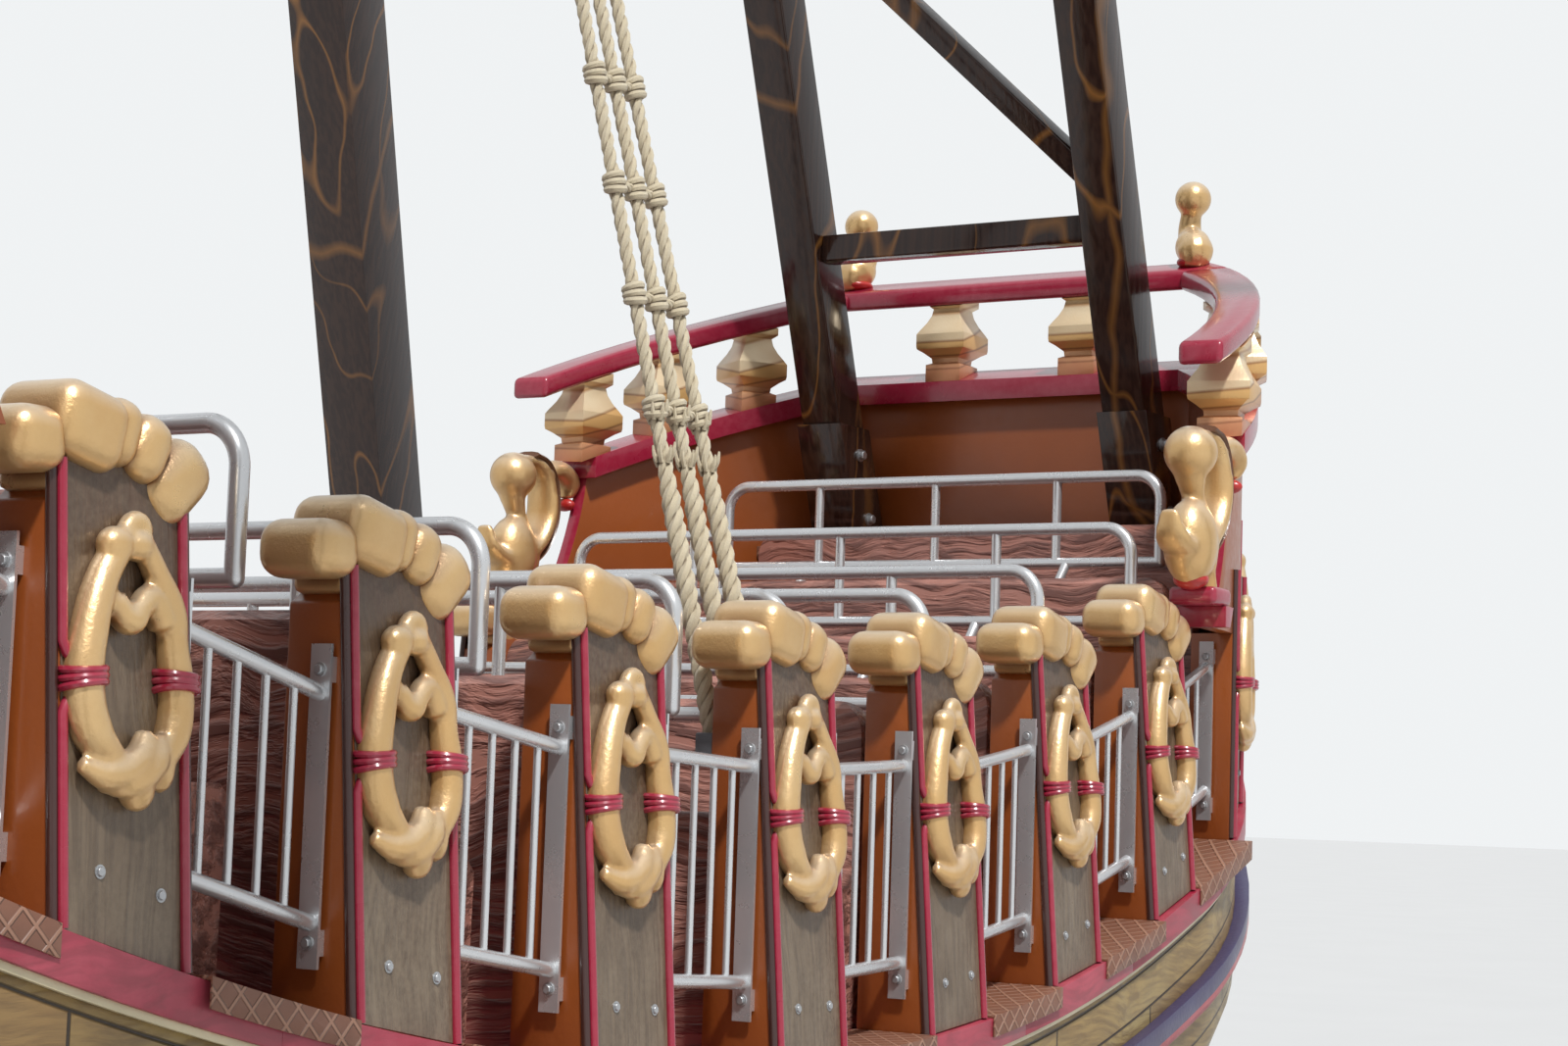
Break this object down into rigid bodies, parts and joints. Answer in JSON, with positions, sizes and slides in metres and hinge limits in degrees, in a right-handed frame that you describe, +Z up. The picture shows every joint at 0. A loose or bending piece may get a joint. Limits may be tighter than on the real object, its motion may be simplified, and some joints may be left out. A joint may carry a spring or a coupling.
{
  "type": "swinging ship fairground ride",
  "caption": "Swinging ship fairground ride: a decked hull with carved castles, rows of benches and hinged lap bars, hung from an axle between two leg towers and driven by a tyre.",
  "frame": {"origin": "on the ground under the middle of the axle", "axes": "+X towards the stern castle, +Y to starboard (the boarding side), +Z up"},
  "size_m": [12.7, 9.1, 14.18],
  "materials": {
    "brown_steel": "gloss paint with fine gold streaks",
    "bare_steel": "machined and oiled",
    "grey_steel": "satin paint",
    "tyre": "black rubber",
    "hull_planks": "moulded planks in worn yellow-olive paint",
    "wale_paint": "satin paint",
    "crimson_paint": "gloss paint",
    "tread_plate": "raised pattern in worn brown paint",
    "grey_wood": "moulded weathered wood grain",
    "gold_paint": "satin gold paint",
    "stainless": "satin stainless steel",
    "bench_wood": "moulded wood grain in red-brown",
    "orange_paint": "satin paint",
    "rope": "three-strand hemp"
  },
  "bodies": {
    "root": {"leg_port_bow": "brown_steel", "leg_port_stern": "brown_steel", "leg_stbd_bow": "brown_steel", "leg_stbd_stern": "brown_steel", "tower_heads": "brown_steel", "axle": "bare_steel", "ground_frame": "brown_steel", "drive_frame": "grey_steel"},
    "drive_wheel": {"drive_wheel": "tyre"},
    "ship": {"hull": "hull_planks", "wales": "wale_paint", "keel_rail": "grey_steel", "deck": "crimson_paint", "entry_treads": "tread_plate", "pillars_port": "grey_wood", "pillars_stbd": "grey_wood", "caps_port": "gold_paint", "caps_stbd": "gold_paint", "wreaths_port": "gold_paint", "wreaths_stbd": "gold_paint", "guard_grilles": "stainless", "seats_stern": "bench_wood", "seats_bow": "bench_wood", "centre_console": "bench_wood", "lap_bar_brackets": "grey_steel", "castle_wings": "hull_planks", "transoms": "orange_paint", "castle_decks": "tread_plate", "lower_rails": "crimson_paint", "top_rails": "crimson_paint", "balusters": "gold_paint", "scrolls": "gold_paint", "hanger_port_stern": "brown_steel", "hanger_stbd_stern": "brown_steel", "hanger_port_bow": "brown_steel", "hanger_stbd_bow": "brown_steel", "hanger_feet": "brown_steel", "crossbars": "brown_steel", "braces": "brown_steel", "collar_tie": "brown_steel", "hub": "brown_steel", "rope_ladder": "rope"},
    "lap_bar_1": {"lap_bar_1": "stainless"},
    "lap_bar_2": {"lap_bar_2": "stainless"},
    "lap_bar_3": {"lap_bar_3": "stainless"},
    "lap_bar_4": {"lap_bar_4": "stainless"},
    "lap_bar_5": {"lap_bar_5": "stainless"},
    "lap_bar_6": {"lap_bar_6": "stainless"},
    "lap_bar_7": {"lap_bar_7": "stainless"},
    "lap_bar_8": {"lap_bar_8": "stainless"},
    "lap_bar_9": {"lap_bar_9": "stainless"},
    "lap_bar_10": {"lap_bar_10": "stainless"}
  },
  "joints": [
    {"name": "swing", "type": "hinge", "parent": "root", "child": "ship", "pos_m": [0, 0, 13.75], "axis": [0, 1, 0], "range_deg": [-60, 60]},
    {"name": "drive_spin", "type": "hinge", "parent": "root", "child": "drive_wheel", "pos_m": [0, 0, 0.332], "axis": [0, 1, 0], "continuous": true},
    {"name": "lap_1_close", "type": "hinge", "parent": "ship", "child": "lap_bar_1", "pos_m": [0.11, 0, 2.5048], "axis": [0, 1, 0], "range_deg": [0, 48]},
    {"name": "lap_2_close", "type": "hinge", "parent": "ship", "child": "lap_bar_2", "pos_m": [1.03, 0, 2.5759], "axis": [0, 1, 0], "range_deg": [0, 48]},
    {"name": "lap_3_close", "type": "hinge", "parent": "ship", "child": "lap_bar_3", "pos_m": [1.95, 0, 2.7339], "axis": [0, 1, 0], "range_deg": [0, 48]},
    {"name": "lap_4_close", "type": "hinge", "parent": "ship", "child": "lap_bar_4", "pos_m": [2.85, 0, 2.9765], "axis": [0, 1, 0], "range_deg": [0, 48]},
    {"name": "lap_5_close", "type": "hinge", "parent": "ship", "child": "lap_bar_5", "pos_m": [3.66, 0, 3.2834], "axis": [0, 1, 0], "range_deg": [0, 28]},
    {"name": "lap_6_close", "type": "hinge", "parent": "ship", "child": "lap_bar_6", "pos_m": [-0.11, 0, 2.5048], "axis": [0, -1, 0], "range_deg": [0, 48]},
    {"name": "lap_7_close", "type": "hinge", "parent": "ship", "child": "lap_bar_7", "pos_m": [-1.03, 0, 2.5759], "axis": [0, -1, 0], "range_deg": [0, 48]},
    {"name": "lap_8_close", "type": "hinge", "parent": "ship", "child": "lap_bar_8", "pos_m": [-1.95, 0, 2.7339], "axis": [0, -1, 0], "range_deg": [0, 48]},
    {"name": "lap_9_close", "type": "hinge", "parent": "ship", "child": "lap_bar_9", "pos_m": [-2.85, 0, 2.9765], "axis": [0, -1, 0], "range_deg": [0, 48]},
    {"name": "lap_10_close", "type": "hinge", "parent": "ship", "child": "lap_bar_10", "pos_m": [-3.66, 0, 3.2834], "axis": [0, -1, 0], "range_deg": [0, 28]}
  ]
}
